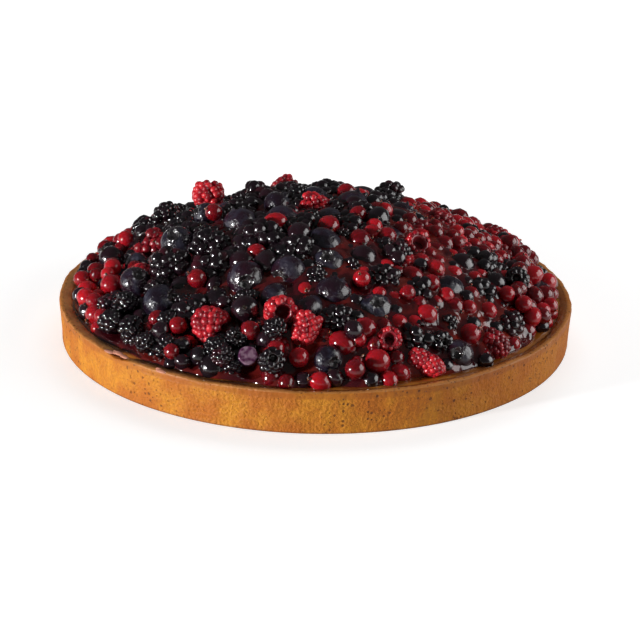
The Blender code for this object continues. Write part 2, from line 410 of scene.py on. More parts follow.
class ScatterTree:
    """Geometry Nodes that set copies of some pieces on points, beside a base piece."""

    def __init__(self) -> None:
        """Builds the tree with its named inputs."""
        self.tree = bpy.data.node_groups.new("Scatter", "GeometryNodeTree")
        new_socket = self.tree.interface.new_socket
        new_socket("Points", in_out="INPUT", socket_type="NodeSocketGeometry")
        self.pieces = new_socket("Pieces", in_out="INPUT", socket_type="NodeSocketCollection")
        self.base = new_socket("Base", in_out="INPUT", socket_type="NodeSocketObject")
        self.finish = new_socket("Finish", in_out="INPUT", socket_type="NodeSocketMaterial")
        new_socket("Piece", in_out="OUTPUT", socket_type="NodeSocketGeometry")
        self.graph = Graph(self.tree)
        given, out = self.graph.add("NodeGroupInput"), self.graph.add("NodeGroupOutput")
        base = self.graph.add("GeometryNodeObjectInfo", {"Object": given.outputs["Base"]})
        both = self.graph.add("GeometryNodeJoinGeometry", {0: self.placed(given).outputs["Instances"]})
        self.graph.feed(both.inputs[0], base.outputs["Geometry"])
        whole = both.outputs[0]
        for kind in ("GeometryNodeRealizeInstances", "GeometryNodeSetShadeSmooth"):
            whole = self.graph.add(kind, {"Geometry": whole}).outputs[0]
        worn = {"Geometry": whole, "Material": given.outputs["Finish"]}
        self.graph.feed(out.inputs[0], self.graph.add("GeometryNodeSetMaterial", worn).outputs[0])

    def named(self, name: str, data_type: str = "FLOAT_VECTOR") -> NodeSocket:
        """One of the points' attributes."""
        node = self.graph.add("GeometryNodeInputNamedAttribute", {"Name": name}, data_type=data_type)
        return node.outputs["Attribute"]

    def placed(self, given: Node) -> Node:
        """Adds the nodes that set one copy on each point.

        Args:
            given: the tree's input node.

        Returns:
            The node whose output is the copies.
        """
        stocked = {"Collection": given.outputs["Pieces"], "Separate Children": True}
        pieces = self.graph.add("GeometryNodeCollectionInfo", stocked)
        turn = self.graph.add("FunctionNodeEulerToRotation", {0: self.named("turn")})
        inputs = {
            "Points": given.outputs["Points"],
            "Instance": pieces.outputs["Instances"],
            "Pick Instance": True,
            "Instance Index": self.named("variant", "INT"),
            "Rotation": turn.outputs[0],
            "Scale": self.named("size"),
        }
        return self.graph.add("GeometryNodeInstanceOnPoints", inputs)

    def grow(
        self,
        name: str,
        points: Array,
        attributes: dict[str, Array],
        pieces: Collection,
        finish: Material,
        base: Object | None = None,
    ) -> Mesh:
        """Runs the tree once.

        Args:
            name: the new mesh's name.
            points: where the copies go.
            attributes: turn, size and variant of each copy, and anything that its colour reads.
            pieces: the pieces to copy, picked by variant in the order of their names.
            finish: the material of the whole.
            base: a piece that is joined to the copies.

        Returns:
            A plain mesh with the copies joined.
        """
        holder = show(name, make_mesh(name, points, [], attributes))
        modifier = holder.modifiers.new("scatter", "NODES")
        modifier.node_group = self.tree
        modifier[self.pieces.identifier] = pieces
        modifier[self.base.identifier] = base
        modifier[self.finish.identifier] = finish
        evaluated = holder.evaluated_get(bpy.context.evaluated_depsgraph_get())
        mesh = bpy.data.meshes.new_from_object(evaluated)
        mesh.name = name
        bpy.data.objects.remove(holder)
        return mesh


def stock(name: str, meshes: list[Mesh]) -> Collection:
    """A collection of pieces to copy, which isn't part of the finished tart."""
    collection = bpy.data.collections.new(name)
    for number, mesh in enumerate(meshes):
        collection.objects.link(bpy.data.objects.new(f"{name}_{number:02d}", mesh))
    return collection


def clear_stock(collection: Collection) -> None:
    """Removes a collection of pieces that were copied."""
    for piece in list(collection.objects):
        bpy.data.objects.remove(piece)
    bpy.data.collections.remove(collection)


# ---------------------------------------------------------------- finishes


@dataclass(frozen=True)
class PastryFinish:
    """Baked shortcrust: golden and brown in patches, crumbly and pitted, with a glazed rim."""

    golden: Colour = (0.66, 0.262, 0.016)
    toasted: Colour = (0.51, 0.150, 0.010)
    brown: Colour = (0.34, 0.090, 0.009)
    dark: Colour = (0.10, 0.028, 0.006)
    # pale tan: colours a paler crest, partly a painted highlight, and paints light on the rim's left inner
    # slope
    dry: Colour = (0.58, 0.270, 0.095)
    soaked: Colour = (0.22, 0.065, 0.012)
    roughness: float = 0.66
    glazed_roughness: float = 0.24

    def build(self, effects: Effects, height: float, inner: float) -> Material:
        """Builds the material.

        Args:
            effects: the shared effects.
            height: the case's height.
            inner: the radius inside which the rim is glazed.

        Returns:
            The material.
        """
        surface = Surface("pastry", self.roughness)
        graph = surface.graph
        place = graph.place()
        axes = graph.add("ShaderNodeSeparateXYZ", {0: place})
        x, z = axes.outputs["X"], axes.outputs["Z"]
        drawn_up = graph.vector("MULTIPLY", place, (1.0, 1.0, 0.3)).outputs[0]
        level = graph.vector("MULTIPLY", place, (1.0, 1.0, 0.0)).outputs[0]
        reach = graph.vector("LENGTH", level).outputs["Value"]
        mottle, pores = effects.mottle, effects.pores
        patches = graph.group(mottle, Vector=place, Scale=62.0, Detail=3.0, Low=0.36, High=0.64)
        streaks = graph.group(mottle, Vector=drawn_up, Scale=190.0, Detail=2.0, Low=0.40, High=0.72)
        crumb = graph.group(mottle, Vector=place, Scale=720.0, Detail=3.0, Low=0.30, High=0.72)
        regions = graph.group(mottle, Vector=place, Scale=17.0, Detail=1.0, Low=0.42, High=0.58)
        pits = graph.group(pores, Vector=place, Scale=520.0, Width=0.34, Share=0.46)
        specks = graph.group(pores, Vector=place, Scale=900.0, Width=0.30, Share=0.25)
        gathered = graph.times(pits, graph.ramp(regions, 0.0, 1.0, 0.12, 1.0))
        pitted = graph.math("MAXIMUM", gathered, graph.times(specks, 0.5))
        rim = graph.ramp(z, height - 4.2 * MM, height - 2.6 * MM)
        # painted highlight: the rim's top edge is painted a paler tan, partly drier crust and partly the
        # light that the crest catches
        crest = graph.ramp(z, height - 0.75 * MM, height - 0.25 * MM)
        foot = graph.ramp(z, 0.0, 1.3 * MM, 1.0, 0.0)
        inside = graph.ramp(reach, inner + 3.2 * MM, inner + 5.0 * MM, 1.0, 0.0)
        wet = graph.times(inside, graph.ramp(x, -105 * MM, -20 * MM))
        # painted light: the left of the rim's inner slope faces away from the key light and is painted
        # towards a pale tan, as if lit from above
        pale = graph.math("SUBTRACT", inside, wet)
        colour = graph.mix(patches, self.golden, self.toasted)
        for mask, share, over in (
            (streaks, 0.45, self.toasted),
            (graph.ramp(x, 10 * MM, 110 * MM), 0.50, self.toasted),
            (crumb, 0.42, self.brown),
            (rim, 0.55, self.brown),
            # paler crest: partly drier crust, partly a painted highlight
            (crest, 0.45, self.dry),
            (foot, 0.60, self.dark),
            (pitted, 0.75, self.dark),
            # painted light on the left inner slope
            (pale, 0.85, self.dry),
            (wet, 0.80, self.soaked),
        ):
            colour = graph.mix(graph.times(mask, share), colour, over)
        surface.put("Base Color", colour)
        smooth = graph.math("MAXIMUM", wet, graph.times(rim, 0.4))
        surface.put("Roughness", graph.ramp(smooth, 0.0, 1.0, self.roughness, self.glazed_roughness))
        rough = graph.times(graph.ramp(rim, 0.0, 1.0, 1.0, 0.35), crumb)
        relief = graph.math("SUBTRACT", rough, graph.times(pitted, 1.6))
        surface.put("Normal", graph.bump(relief, 0.9, 0.30 * MM))
        surface.put("Specular IOR Level", 0.35)
        return surface.material


@dataclass(frozen=True)
class CustardFinish:
    """Baked custard under a clear glaze, amber with browner patches."""

    amber: Colour = (0.40, 0.135, 0.014)
    brown: Colour = (0.20, 0.050, 0.008)

    def build(self, effects: Effects) -> Material:
        """Builds the material from the shared effects."""
        surface = Surface("custard", 0.22)
        graph = surface.graph
        patches = graph.group(effects.mottle, Vector=graph.place(), Scale=90.0, Low=0.35, High=0.65)
        surface.put("Base Color", graph.mix(patches, self.amber, self.brown))
        surface.coat(1.0, 0.05)
        surface.put("Normal", graph.bump(graph.noise(160.0), 0.5, 0.5 * MM))
        return surface.material


@dataclass(frozen=True)
class JellyFinish:
    """The set juice and glaze between the berries: nearly black red, amber-red towards the edge."""

    deep: Colour = (0.050, 0.003, 0.006)
    bright: Colour = (0.26, 0.020, 0.010)
    roughness: float = 0.10

    def build(self, effects: Effects) -> Material:
        """Builds the material from the shared effects."""
        surface = Surface("jelly", self.roughness)
        graph = surface.graph
        patches = graph.group(effects.mottle, Vector=graph.place(), Scale=60.0, Low=0.40, High=0.70)
        shares = graph.times(patches, graph.attribute("clear"))
        surface.put("Base Color", graph.mix(shares, self.deep, self.bright))
        surface.coat(0.7, 0.05)
        surface.put("Normal", graph.bump(graph.noise(260.0), 0.5, 0.6 * MM))
        return surface.material


@dataclass(frozen=True)
class BeadedFinish:
    """Glazed beads that vary from one to the next, round a paler or darker heart."""

    name: str
    deep: Colour
    middle: Colour
    bright: Colour
    heart: Colour
    glow: float
    turning: float
    roughness: float = 0.20
    coat: float = 0.9

    def build(self) -> Material:
        """Builds the material. It reads the mesh's shade, tint and part."""
        surface = Surface(self.name, self.roughness)
        graph = surface.graph
        bead = graph.times(graph.attribute("shade"), 0.55)
        level = graph.math("ADD", bead, graph.times(graph.attribute("tint"), 0.45))
        colour = graph.mix(graph.ramp(level, 0.1, 0.75), self.deep, self.middle)
        turned_bright = graph.ramp(level, self.turning, self.turning + 0.2)
        colour = graph.mix(turned_bright, colour, self.bright)
        surface.put("Base Color", graph.mix(graph.attribute("part"), colour, self.heart))
        surface.glow(self.glow, (1.0, 0.25, 0.2), 2.0 * MM)
        surface.coat(self.coat, 0.07)
        surface.put("Normal", graph.bump(graph.noise(600.0), 0.6, 0.5 * MM))
        return surface.material


@dataclass(frozen=True)
class SkinFinish:
    """A smooth dark skin with patches of pale bloom under the glaze, and a dull crown."""

    name: str
    skin: Colour
    ripe: Colour
    bloom: Colour
    crown: Colour
    bloom_share: float
    roughness: float = 0.20
    wrinkle: float = 1.4 * MM

    def build(self, effects: Effects) -> Material:
        """Builds the material. It reads the mesh's local place, tint and part."""
        surface = Surface(self.name, self.roughness)
        graph = surface.graph
        tint = graph.attribute("tint")
        away = graph.times(tint, 40.0)
        shifted = graph.vector("ADD", graph.attribute("local", "Vector"), away).outputs[0]
        patches = graph.group(effects.mottle, Vector=shifted, Scale=1.5, Detail=4.0, Low=0.38, High=0.68)
        strength = graph.times(patches, self.bloom_share)
        colour = graph.mix(tint, self.skin, self.ripe)
        colour = graph.mix(strength, colour, self.bloom)
        surface.put("Base Color", graph.mix(graph.attribute("part"), colour, self.crown))
        surface.put("Roughness", graph.ramp(strength, 0.0, 1.0, self.roughness, 0.75))
        surface.coat(0.9, 0.07)
        surface.put("Normal", graph.bump(graph.noise(420.0, 4.0), 0.7, self.wrinkle))
        return surface.material


@dataclass(frozen=True)
class RedcurrantFinish:
    """A clear red skin over lit flesh, with paler veins from pole to pole and a dry brown tail."""

    deep: Colour = (0.13, 0.002, 0.006)
    bright: Colour = (0.52, 0.010, 0.020)
    vein: Colour = (0.42, 0.03, 0.045)
    tail: Colour = (0.055, 0.022, 0.012)
    veins: float = 10.0

    def build(self) -> Material:
        """Builds the material. It reads the mesh's local place, tint and part."""
        surface = Surface("redcurrant", 0.16)
        graph = surface.graph
        axes = graph.add("ShaderNodeSeparateXYZ", {0: graph.attribute("local", "Vector")})
        bearing = graph.math("ARCTAN2", axes.outputs["Y"], axes.outputs["X"])
        stripe = graph.math("ABSOLUTE", graph.math("SINE", graph.times(bearing, self.veins / 2)))
        ripeness = graph.math("POWER", graph.attribute("tint"), 1.6)
        colour = graph.mix(ripeness, self.deep, self.bright)
        colour = graph.mix(graph.ramp(stripe, 0.0, 0.22, 0.30, 0.0), colour, self.vein)
        surface.put("Base Color", graph.mix(graph.attribute("part"), colour, self.tail))
        surface.put("Specular IOR Level", 0.38)
        surface.glow(0.65, (1.0, 0.2, 0.12), 3.5 * MM)
        surface.coat(0.8, 0.06)
        return surface.material


@dataclass(frozen=True)
class GlazeFinish:
    """Set glaze, pinkish and shiny over the pastry."""

    colour: Colour = (0.60, 0.22, 0.13)
    pale: Colour = (0.72, 0.34, 0.24)

    def build(self) -> Material:
        """Builds the material."""
        surface = Surface("glaze", 0.10)
        noise = surface.graph.noise(700.0)
        surface.put("Base Color", surface.graph.mix(noise, self.colour, self.pale))
        surface.coat(1.0)
        return surface.material


@dataclass(frozen=True)
class CutFinish:
    """Pale lilac flesh inside a dark skin, wet with glaze."""

    skin: Colour = (0.020, 0.006, 0.022)
    flesh: Colour = (0.34, 0.20, 0.28)
    stain: Colour = (0.10, 0.02, 0.07)

    def build(self) -> Material:
        """Builds the material. It reads the mesh's part."""
        surface = Surface("cut_flesh", 0.18)
        graph = surface.graph
        flesh = graph.mix(graph.ramp(graph.noise(420.0), 0.35, 0.70), self.flesh, self.stain)
        surface.put("Base Color", graph.mix(graph.attribute("part"), self.skin, flesh))
        surface.coat(0.8)
        return surface.material


@dataclass(frozen=True)
class FloorFinish:
    """A white sweep that glows evenly except for a painted shadow, a little dimmer close to the tart, and
    throws little light back.
    """

    # near, start and end paint a soft shadow round the tart: the glow rises from near to far between start
    # and end from the middle
    near: float = 0.64
    far: float = 1.0
    felt: float = 0.15
    albedo: float = 0.60
    start: float = 0.15
    end: float = 0.55

    def build(self) -> Material:
        """Builds the material."""
        surface = Surface("floor", 0.9)
        graph = surface.graph
        surface.put("Base Color", (self.albedo, self.albedo, self.albedo))
        surface.put("Specular IOR Level", 0.0)
        surface.put("Emission Strength", 1.0)
        reach = graph.vector("LENGTH", graph.place()).outputs["Value"]
        # painted shadow: the glow that the camera sees is dimmer close to the tart
        seen = graph.ramp(reach, self.start, self.end, self.near, self.far)
        path = graph.add("ShaderNodeLightPath")
        grey = graph.ramp(path.outputs["Is Camera Ray"], 0.0, 1.0, self.felt, seen)
        colour = graph.add("ShaderNodeCombineColor", {"Red": grey, "Green": grey, "Blue": grey})
        surface.put("Emission Color", colour.outputs[0])
        return surface.material


# ---------------------------------------------------------------- single fruits


@dataclass(frozen=True)
class Order:
    """What one fruit is to be, from its mesh's name to the tree that sets any beads."""

    name: str
    width: float
    length: float
    seed: int
    finish: Material
    scatter: ScatterTree

    def skinned(self, points: Array, faces: list, inside: Array, unevenness: float) -> Mesh:
        """Makes the mesh of a fruit with a plain skin.

        Args:
            points: the even shape's points.
            faces: tuples of point numbers.
            inside: how far each point has the colour of the crown or the tail.
            unevenness: how far the shape is dented.

        Returns:
            The mesh, with local and part on its points.
        """
        part = np.interp(inside, (0, 1), (Part.FLESH.value, Part.HEART.value))
        attributes = {"local": points / (self.width / 2), "part": part}
        mesh = make_mesh(self.name, dented(points, unevenness, self.seed), faces, attributes)
        mesh.materials.append(self.finish)
        return mesh


@dataclass(frozen=True)
class BeadedFruit:
    """A raspberry or a bramble: beads in a spiral round a heart that may be hollow."""

    beads: int
    mouth: float
    hollow: float
    bluntness: float = 2.2
    bead_columns: int = 6
    bead_rows: int = 3
    heart_columns: int = 12
    swell: float = 1.22
    covered: float = 0.92
    side_inset: float = 0.62
    end_inset: float = 0.35
    smallest: float = 0.78
    largest: float = 1.12
    flatness: float = 0.95
    straying: float = 0.10

    def outline(self, share: Array) -> tuple[Array, Array]:
        """Radius and height on the heart's outline, in half-sizes.

        Args:
            share: how far along, from 0 at the tip to 1 at the open end.

        Returns:
            The radii and the heights.
        """
        along = -1 + (self.mouth + 1) * share
        radius = np.maximum(0, 1 - np.abs(along) ** self.bluntness) ** (1 / self.bluntness)
        return radius, 2 * share - 1

    def bead(self) -> Mesh:
        """One bead, a dome that reaches just past its widest ring."""
        angles = np.radians(np.linspace(100, 0, self.bead_rows + 1))
        profile = np.stack([np.sin(angles), np.cos(angles)], axis=1)
        profile = np.vstack([[0, profile[0, 1]], profile[:-1], [0, 1]])
        points, faces = turned(profile, self.bead_columns)
        return make_mesh("bead", points[1:], [tuple(p - 1 for p in f) for f in faces if 0 not in f])

    def heart(self, half: float, tall: float) -> Object:
        """The heart that the beads sit on, open at its top.

        Args:
            half: half of its greatest width.
            tall: half of its length.

        Returns:
            The heart's object, which isn't part of the finished tart.
        """
        radius, height = self.outline(np.linspace(0, 1, 9))
        rows = np.stack([half * radius, tall * height], axis=1)
        rows[0, 0] = 0
        lip = rows[-1, 0]
        inner = [
            (0.80 * lip, 1.01 * tall),
            (0.66 * lip, 0.80 * tall),
            (0.50 * lip, (0.8 - 0.6 * self.hollow) * tall),
            (0, (0.8 - 1.0 * self.hollow) * tall),
        ]
        points, faces = turned(np.vstack([rows, inner]), self.heart_columns)
        whole = {"part": np.full(len(points), Part.HEART.value), "shade": np.full(len(points), 0.5)}
        return bpy.data.objects.new("heart", make_mesh("heart", points, faces, whole))

    def spiral(self, half: float, tall: float, chance: np.random.Generator) -> tuple[Array, Array]:
        """Winds the beads round the heart.

        Args:
            half: half of the heart's greatest width.
            tall: half of its length.
            chance: lets the beads stray.

        Returns:
            The beads' places, and the turns that face them outwards.
        """
        place = (np.arange(self.beads) + 0.35) / self.beads
        place = np.clip(place + chance.normal(0, 0.007, self.beads), 0.004, 0.995)
        bearing = np.arange(self.beads) * GOLDEN_ANGLE + chance.normal(0, self.straying, self.beads)
        radius, height = self.outline(place)
        ahead, above = self.outline(np.minimum(place + 0.01, 1))
        behind, below = self.outline(np.maximum(place - 0.01, 0))
        normals = around(tall * (above - below), bearing, -half * (ahead - behind))
        turns = [Vector(normal).to_track_quat("Z", "Y").to_euler() for normal in normals]
        return around(half * radius, bearing, tall * height), np.array(turns, dtype=float)

    def build(self, order: Order) -> Mesh:
        """Builds one fruit about the origin, with its open end up.

        Args:
            order: what the fruit is to be.

        Returns:
            The mesh, with shade and part on its points.
        """
        chance = np.random.default_rng(order.seed)
        area = math.pi * order.width * order.length * self.covered
        bead = 0.5 * self.swell * math.sqrt(area / self.beads * 2 / math.sqrt(3))
        half = order.width / 2 - self.side_inset * bead
        tall = order.length / 2 - self.end_inset * bead
        base = self.heart(half, tall)
        spots, turns = self.spiral(half, tall, chance)
        sizes = bead * chance.uniform(self.smallest, self.largest, (self.beads, 1))
        attributes = {
            "turn": turns,
            "size": sizes * np.array([[1, 1, self.flatness]]),
            "variant": np.zeros(self.beads, dtype=int),
            "shade": chance.uniform(0, 1, self.beads),
        }
        beads = stock("beads", [self.bead()])
        mesh = order.scatter.grow(order.name, spots, attributes, beads, order.finish, base)
        clear_stock(beads)
        bpy.data.objects.remove(base)
        return mesh


@dataclass(frozen=True)
class CrownedFruit:
    """A blueberry: a flattened ball with a five-pointed crown round a shallow dish."""

    columns: int = 30
    lobes: int = 5
    lobe_reach: float = 0.16
    lobe_rise: float = 0.045
    unevenness: float = 0.018

    def build(self, order: Order) -> Mesh:
        """Builds one fruit about the origin, with its crown up.

        Args:
            order: what the fruit is to be.

        Returns:
            The mesh, with local and part on its points.
        """
        latitude = np.radians(np.linspace(-84, 60, 13))
        body = np.stack([np.cos(latitude), np.sin(latitude)], axis=1)
        crown = [(0.41, 0.915), (0.39, 1.0), (0.33, 0.985), (0.27, 0.88), (0.14, 0.80)]
        unit = np.vstack([[0, -0.96], body, crown, [0, 0.78]])
        ridge = slice(len(body) + 1, len(body) + 3)

        def lobed(radius: Array, height: Array, bearing: Array) -> tuple[Array, Array]:
            """Draws the crown's top out into points."""
            points = np.cos(self.lobes * bearing)
            radius[ridge] *= 1 + self.lobe_reach * points
            height[ridge] += self.lobe_rise * order.length * points
            return radius, height

        profile = unit * np.array([[order.width / 2, order.length / 2]])
        points, faces = turned(profile, self.columns, lobed)
        inside = np.zeros(len(points))
        inside[1 + (len(body) + 1) * self.columns :] = 1.0
        inside[0] = 0.6
        return order.skinned(points, faces, inside, self.unevenness)


@dataclass(frozen=True)
class TailedFruit:
    """A currant: a ball with the dry tail of its flower."""

    columns: int = 18
    rings: int = 10
    tail: float = 0.24
    unevenness: float = 0.015

    def build(self, order: Order) -> Mesh:
        """Builds one fruit about the origin, with its tail up.

        Args:
            order: what the fruit is to be, with its length taken without the tail.

        Returns:
            The mesh, with local and part on its points.
        """
        latitude = np.radians(np.linspace(-80, 78, self.rings))
        body = np.stack([np.cos(latitude), np.sin(latitude)], axis=1)
        dry = [(0.12, 0.0), (0.08, 0.4), (0.15, 0.9), (0.07, 0.7), (0, 0.5)]
        tail = [(radius, 1.0 + share * self.tail) for radius, share in dry]
        profile = np.vstack([[0, -0.97], body, tail]) * np.array([[order.width / 2, order.length / 2]])

        def ragged(radius: Array, height: Array, bearing: Array) -> tuple[Array, Array]:
            """Tears the tail's end a little."""
            height[-2] += 0.03 * order.width * np.sin(4 * bearing[0] + order.seed)
            return radius, height

        points, faces = turned(profile, self.columns, ragged)
        inside = np.zeros(len(points))
        inside[1 + len(body) * self.columns :] = 1.0
        return order.skinned(points, faces, inside, self.unevenness)


MODELS = {
    Fruit.BLUEBERRY: CrownedFruit(),
    Fruit.BLACKCURRANT: TailedFruit(tail=0.12),
    Fruit.RASPBERRY: BeadedFruit(beads=76, mouth=0.55, hollow=1.0, bead_columns=7, swell=1.34),
    Fruit.BRAMBLE: BeadedFruit(beads=36, mouth=0.80, hollow=0.25),
    Fruit.REDCURRANT: TailedFruit(tail=0.24),
}
HEAPED_MODELS = {
    **MODELS,
    Fruit.BLACKCURRANT: TailedFruit(columns=12, rings=7, tail=0.12),
    Fruit.REDCURRANT: TailedFruit(columns=12, rings=7, tail=0.24),
}


@dataclass
class Berry:
    """One berry's kind, place, size and way of lying."""

    kind: Fruit
    place: Vector
    width: float
    length: float
    axis: Vector
    node: str = ""

    @property
    def radius(self) -> float:
        """Half of its greatest size."""
        return max(self.width, self.length) / 2

    def matrix(self, spin: float) -> Matrix:
        """Turns a fruit built about the origin, with its open end up, into this one's place."""
        turn = Vector((0, 0, 1)).rotation_difference(self.axis).to_matrix().to_4x4()
        return Matrix.Translation(self.place) @ turn @ Matrix.Rotation(spin, 4, "Z")


def berry_from_node(name: str) -> Berry:
    """Reads a single fruit's place, size and axis from its node.

    Args:
        name: the node's name.

    Returns:
        The fruit.
    """
    kind = Fruit(name.rsplit("_", 1)[0])
    mesh = frame["nodes"][name].data
    points = np.empty(3 * len(mesh.vertices))
    mesh.vertices.foreach_get("co", points)
    points = np.unique(points.reshape(-1, 3).round(6), axis=0)
    middle = points.mean(axis=0)
    spreads, ways = np.linalg.eigh(np.cov((points - middle).T))
    odd = 0 if spreads[1] - spreads[0] > spreads[2] - spreads[1] else 2
    axis = ways[:, odd]
    along = (points - middle) @ axis
    if along.max() > -along.min():
        axis, along = -axis, -along
    low, high = along.min(), along.max()
    away = (points - middle) - np.outer(along, axis)
    width = 2 * np.linalg.norm(away, axis=1).max()
    length = width if "currant" in kind.value else high - low
    place = middle + axis * (low + length / 2)
    return Berry(kind, Vector(place), width, length, Vector(axis), name)


# ---------------------------------------------------------------- sub-assemblies


@dataclass
class PastryCase:
    """The baked case: an upright wall, a rough trimmed rim and a floor."""

    radius: float
    height: float
    wall: float = 6.5 * MM
    floor: float = 4.0 * MM
    rim_round: float = 0.8 * MM
    crest: float = 1.7 * MM
    slope_drop: float = 1.3 * MM
    wall_rows: int = 22
    slope_rows: int = 9
    foot_round: float = 0.7 * MM
    draft: float = 0.8 * MM
    columns: int = 1100
    notch_bearing: float = math.radians(226)
    notch_width: float = math.radians(5)
    notch_depth: float = 1.5 * MM
    sway_depth: float = 0.25 * MM
    ripple_depth: float = 0.12 * MM
    crumb_depth: float = 0.07 * MM
    rim_sway: float = 0.22 * MM
    rim_crumbs: float = 0.10 * MM

    def profile(self) -> Array:
        """The case's section, from the middle of its underside to the middle of its floor."""
        outer = self.radius
        inner = self.radius - self.wall
        foot = outer - self.draft
        rows = [(0, 0), (0.6 * outer, 0), (foot - self.foot_round, 0)]
        for angle in np.radians([30, 60, 90]):
            across, up = 1 - math.sin(angle), 1 - math.cos(angle)
            rows.append((foot - self.foot_round * across, self.foot_round * up))
        top = self.height - self.rim_round
        for share in np.linspace(0, 1, self.wall_rows)[1:]:
            rows.append((foot + self.draft * share, self.foot_round + (top - self.foot_round) * share))
        for angle in np.radians([20, 40, 60, 80]):
            across, up = 1 - math.cos(angle), math.sin(angle)
            rows.append((outer - self.rim_round * across, top + self.rim_round * up))
        crest = outer - self.crest
        for share in np.linspace(0, 1, self.slope_rows):
            rows.append((crest + (inner - crest) * share, self.height - self.slope_drop * share**1.3))
        rows += [(inner, self.height - self.slope_drop - 2 * MM), (inner - self.draft, self.floor + MM)]
        rows += [(inner - self.draft - MM, self.floor), (0, self.floor)]
        return np.array(rows)

    def build(self, finish: Material) -> Object:
        """Builds the case.

        Args:
            finish: its material.

        Returns:
            The piece.
        """
        sway = waves(3, 10, 2, 14)
        ripple = waves(11, 26, 18, 90, 0.25)
        crumbs = waves(29, 60, 90, 420, 0.8)
        rim_wave = waves(5, 12, 3, 40)

        def baked(radius: Array, height: Array, bearing: Array) -> tuple[Array, Array]:
            """Makes the wall and the rim uneven, and keeps the foot flat."""
            standing = height > 0
            near_rim = np.clip((height - self.height + 4 * MM) / (4 * MM), 0, 1)
            outer = (radius > self.radius - self.wall + 1.5 * MM) * np.clip(height / MM, 0, 1)
            radius = radius - outer * self.sway_depth * (1.2 + sway(bearing, 0 * height))
            radius = radius - outer * self.ripple_depth * ripple(bearing, height)
            radius = radius - outer * self.crumb_depth * crumbs(bearing, height)
            gap = (bearing - self.notch_bearing) / self.notch_width
            height = height + near_rim * self.rim_sway * rim_wave(bearing, 0 * height)
            height = height + near_rim * self.rim_crumbs * crumbs(bearing, 3 * radius)
            height = height - near_rim * self.notch_depth * np.exp(-(gap**2) * 2)
            return radius, height * standing

        points, faces = turned(self.profile(), self.columns, baked)
        return show("pastry_case_baked", make_mesh("pastry_case_baked", points, faces), finish)


@dataclass
class Custard:
    """The custard that fills the case to just under its rim."""

    radius: float
    bottom: float
    top: float
    sink: float = 0.3 * MM
    ripple: float = 0.12 * MM
    steps: int = 30
    columns: int = 360

    def build(self, finish: Material) -> Object:
        """Builds the custard.

        Args:
            finish: its material.

        Returns:
            The piece.
        """
        rows = [(0, self.bottom), (self.radius - 1.5 * MM, self.bottom)]
        rows += [(self.radius - MM, self.bottom + MM)]
        rows += [(self.radius, self.top - MM), (self.radius, self.top)]
        for step in range(1, self.steps):
            reach = self.radius * (1 - step / self.steps)
            rows.append((reach, self.top - self.sink * min(1.0, step / 3)))
        rows.append((0, self.top - self.sink))
        sway = waves(17, 12, 3, 30)

        def poured(radius: Array, height: Array, bearing: Array) -> tuple[Array, Array]:
            """Lets the surface ripple a little."""
            surface = height > self.top - 0.9 * MM
            return radius, height + surface * self.ripple * sway(bearing, 60 * radius)

        points, faces = turned(np.array(rows), self.columns, poured)
        return show("custard_glazed", make_mesh("custard_glazed", points, faces), finish)


@dataclass
class Mound:
    """The uneven mound that the tops of the fruit reach."""

    radius: float
    foot: float
    rise: float = 48.0 * MM
    fullness: float = 2.4
    lean: float = 0.06
    slump: float = 0.9
    unevenness: float = 1.5 * MM
    lump: float = 21 * MM

    def top(self, x: Array, y: Array) -> Array:
        """Height of the mound at each place."""
        share = np.minimum(1.0, np.hypot(x, y) / self.radius)
        fullness = self.fullness + self.slump * np.minimum(0, x / self.radius)
        smooth = self.rise * (1 - share**fullness) * (1 - self.lean * x / self.radius)
        across, along = x / self.lump, y / self.lump
        lumps = np.sin(across + 1.7 * np.sin(0.8 * along)) * np.sin(1.1 * along + 1.3 * np.cos(0.7 * across))
        return self.foot + smooth + self.unevenness * lumps


@dataclass(frozen=True)
class Sort:
    """How often one kind of fruit is picked for the heap, and its sizes in millimetres."""

    kind: Fruit
    share: float
    smallest: float
    largest: float
    slender: float = 1.0
    proud: float = 0.0


LARGE_SORTS = (
    Sort(Fruit.BLUEBERRY, 0.36, 16.5, 22.0, 0.87, 4.0),
    Sort(Fruit.BLACKCURRANT, 0.06, 13.0, 16.0, 1.0, 1.0),
    Sort(Fruit.RASPBERRY, 0.18, 16.0, 20.0, 1.0, 3.0),
    Sort(Fruit.BRAMBLE, 0.50, 17.0, 23.0, 1.10, 3.5),
    Sort(Fruit.REDCURRANT, 0.12, 10.0, 13.0, 1.0, 0.5),
)
SMALL_SORTS = (
    Sort(Fruit.BLACKCURRANT, 0.16, 10.0, 12.5),
    Sort(Fruit.RASPBERRY, 0.06, 12.0, 14.0),
    Sort(Fruit.BRAMBLE, 0.60, 11.0, 15.0),
    Sort(Fruit.REDCURRANT, 0.27, 9.0, 11.5),
)
FILL_SORTS = (
    Sort(Fruit.BLACKCURRANT, 0.25, 8.0, 10.0),
    Sort(Fruit.BRAMBLE, 0.35, 9.5, 12.0),
    Sort(Fruit.REDCURRANT, 0.40, 8.0, 10.0),
)


@dataclass(frozen=True)
class Layer:
    """One round of dropping berries: its sorts, and when it stops trying."""

    sorts: tuple[Sort, ...]
    patience: int
    squeeze: float
    sunk: float
    berth: float


LAYERS = (
    Layer(LARGE_SORTS, 170, 0.84, 0.0, 9 * MM),
    Layer(SMALL_SORTS, 45, 0.84, 1.6 * MM, 7 * MM),
    Layer(FILL_SORTS, 22, 0.74, 3.0 * MM, 2 * MM),
)


def step_up(value: Array, middle: float, width: float) -> Array:
    """Rises softly from 0 to 1 as value passes middle."""
    return 1 / (1 + np.exp(-(value - middle) / width))


def rightward(x: Array) -> Array:
    """Rises from 0 to 1 where the heap turns from dark fruit to red on the right."""
    return step_up(x, 32 * MM, 9 * MM)


